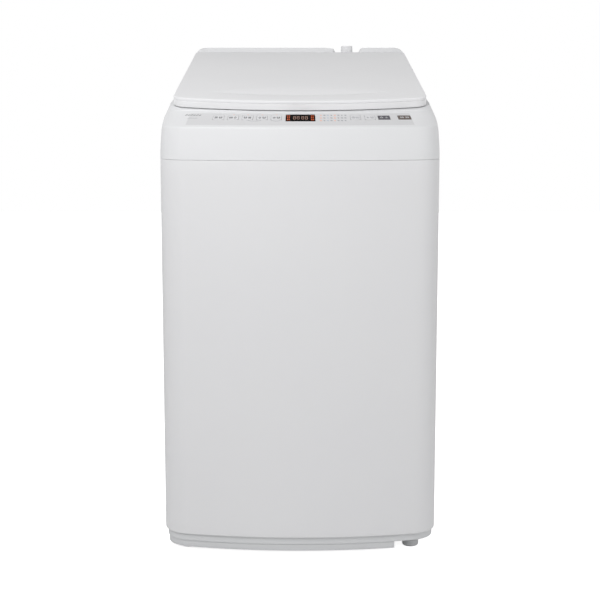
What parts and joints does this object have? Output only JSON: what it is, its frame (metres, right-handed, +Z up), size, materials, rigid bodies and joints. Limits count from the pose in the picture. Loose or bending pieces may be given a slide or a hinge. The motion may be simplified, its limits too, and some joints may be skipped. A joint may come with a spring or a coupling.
{
  "type": "top load washing machine",
  "caption": "White top loading washing machine with a bowed front, sloping hinged lid, key panel, sprung tub, spin basket, pulsator and belt drive.",
  "frame": {"origin": "on the floor, at the middle of the footprint's box", "axes": "+X to the right seen from the front, +Y to the back, +Z up; the front faces -Y"},
  "size_m": [0.5, 0.53, 0.9195],
  "materials": {
    "white_enamel": "satin white baked enamel",
    "white_abs": "fine satin moulding",
    "lid_white": "soft gloss white moulding",
    "panel_grey": "fine speckled pale grey overlay",
    "black_lens": "gloss black",
    "light_key": "satin",
    "dark_key": "satin",
    "green_board": "solder resist",
    "grey_pp": "moulded",
    "black_rubber": "moulded rubber",
    "blue_pp": "moulded",
    "stainless": "bright rolled",
    "zinc_steel": "zinc plated",
    "cast_aluminium": "as cast"
  },
  "bodies": {
    "casing": {"cabinet": "white_enamel", "rear_cover": "zinc_steel", "cord_gland": "black_rubber", "base_frame": "grey_pp", "front_skirt": "grey_pp", "foot_front_left": "black_rubber", "foot_rear_left": "black_rubber", "foot_rear_right": "black_rubber", "foot_lock_nut": "zinc_steel", "top_cover": "white_abs", "control_panel": "panel_grey", "display_window": "black_lens", "control_board": "green_board", "lid_switch": "grey_pp", "inlet_nozzle": "grey_pp", "inlet_valve": "white_abs", "drawer_housing": "grey_pp", "run_capacitor": "white_abs", "suspension_rod_front_left": "zinc_steel", "suspension_rod_front_right": "zinc_steel", "suspension_rod_rear_left": "zinc_steel", "suspension_rod_rear_right": "zinc_steel", "suspension_spring_front_left": "zinc_steel", "suspension_spring_front_right": "zinc_steel", "suspension_spring_rear_left": "zinc_steel", "suspension_spring_rear_right": "zinc_steel"},
    "lid": {"lid": "lid_white", "lid_inner_panel": "white_abs", "lid_hinge_pin_left": "zinc_steel", "lid_hinge_pin_right": "zinc_steel"},
    "tub": {"outer_tub": "grey_pp", "tub_cover": "grey_pp", "motor_bracket": "zinc_steel", "gearbox": "cast_aluminium", "drive_belt": "black_rubber", "motor": "cast_aluminium", "drain_valve": "grey_pp", "drain_actuator": "black_rubber"},
    "basket": {"spin_basket": "stainless", "balance_ring": "white_abs", "spin_shaft": "zinc_steel"},
    "lint_filter": {"lint_filter": "white_abs"},
    "pulsator": {"pulsator": "blue_pp", "pulsator_cap": "grey_pp", "wash_shaft": "zinc_steel", "drive_pulley": "cast_aluminium"},
    "motor_pulley": {"motor_pulley": "cast_aluminium"},
    "detergent_drawer": {"detergent_drawer": "blue_pp"},
    "adjustable_foot": {"adjustable_foot": "grey_pp"},
    "course_key": {"course_key": "light_key"},
    "water_level_key": {"water_level_key": "light_key"},
    "wash_key": {"wash_key": "light_key"},
    "rinse_key": {"rinse_key": "light_key"},
    "spin_key": {"spin_key": "light_key"},
    "timer_key": {"timer_key": "light_key"},
    "dry_key": {"dry_key": "light_key"},
    "power_key": {"power_key": "dark_key"},
    "start_key": {"start_key": "dark_key"}
  },
  "joints": [
    {"name": "lid_hinge", "type": "hinge", "parent": "casing", "child": "lid", "pos_m": [0, 0.21641, 0.89408], "axis": [-1, 0, 0], "range_deg": [0, 103]},
    {"name": "tub_bounce", "type": "slide", "parent": "casing", "child": "tub", "axis": [0, 0, 1], "range_m": [-0.012, 0.012], "stiffness_N_per_m": 12000, "springref_m": 0.01331, "deforming": ["suspension_spring_front_left", "suspension_spring_front_right", "suspension_spring_rear_left", "suspension_spring_rear_right"]},
    {"name": "basket_spin", "type": "hinge", "parent": "tub", "child": "basket", "pos_m": [0, 0, 0.208], "axis": [0, 0, 1], "continuous": true},
    {"name": "pulsator_spin", "type": "hinge", "parent": "tub", "child": "pulsator", "pos_m": [0, 0, 0.216], "axis": [0, 0, 1], "continuous": true},
    {"name": "motor_spin", "type": "hinge", "parent": "tub", "child": "motor_pulley", "pos_m": [0.092, -0.112, 0.076], "axis": [0, 0, 1], "continuous": true},
    {"name": "lint_filter_lift", "type": "slide", "parent": "basket", "child": "lint_filter", "axis": [0, 0, 1], "range_m": [0, 0.08]},
    {"name": "drawer_slide", "type": "slide", "parent": "casing", "child": "detergent_drawer", "axis": [0, -1, 0], "range_m": [0, 0.07]},
    {"name": "foot_height", "type": "slide", "parent": "casing", "child": "adjustable_foot", "axis": [0, 0, -1], "range_m": [0, 0.01]},
    {"name": "course_press", "type": "slide", "parent": "casing", "child": "course_key", "axis": [0.0829, 0.5019, -0.8609], "range_m": [0, 0.001], "stiffness_N_per_m": 1200},
    {"name": "water_level_press", "type": "slide", "parent": "casing", "child": "water_level_key", "axis": [0.0679, 0.5042, -0.8609], "range_m": [0, 0.001], "stiffness_N_per_m": 1200},
    {"name": "wash_press", "type": "slide", "parent": "casing", "child": "wash_key", "axis": [0.0531, 0.5059, -0.8609], "range_m": [0, 0.001], "stiffness_N_per_m": 1200},
    {"name": "rinse_press", "type": "slide", "parent": "casing", "child": "rinse_key", "axis": [0.0385, 0.5073, -0.8609], "range_m": [0, 0.001], "stiffness_N_per_m": 1200},
    {"name": "spin_press", "type": "slide", "parent": "casing", "child": "spin_key", "axis": [0.024, 0.5082, -0.8609], "range_m": [0, 0.001], "stiffness_N_per_m": 1200},
    {"name": "timer_press", "type": "slide", "parent": "casing", "child": "timer_key", "axis": [-0.0563, 0.5056, -0.8609], "range_m": [0, 0.001], "stiffness_N_per_m": 1200},
    {"name": "dry_press", "type": "slide", "parent": "casing", "child": "dry_key", "axis": [-0.071, 0.5037, -0.8609], "range_m": [0, 0.001], "stiffness_N_per_m": 1200},
    {"name": "power_press", "type": "slide", "parent": "casing", "child": "power_key", "axis": [-0.0855, 0.5015, -0.8609], "range_m": [0, 0.001], "stiffness_N_per_m": 1200},
    {"name": "start_press", "type": "slide", "parent": "casing", "child": "start_key", "axis": [-0.1066, 0.4974, -0.8609], "range_m": [0, 0.001], "stiffness_N_per_m": 1200}
  ],
  "couplings": [
    {"joint": "motor_spin", "follows": "pulsator_spin", "ratio": 4.3}
  ]
}
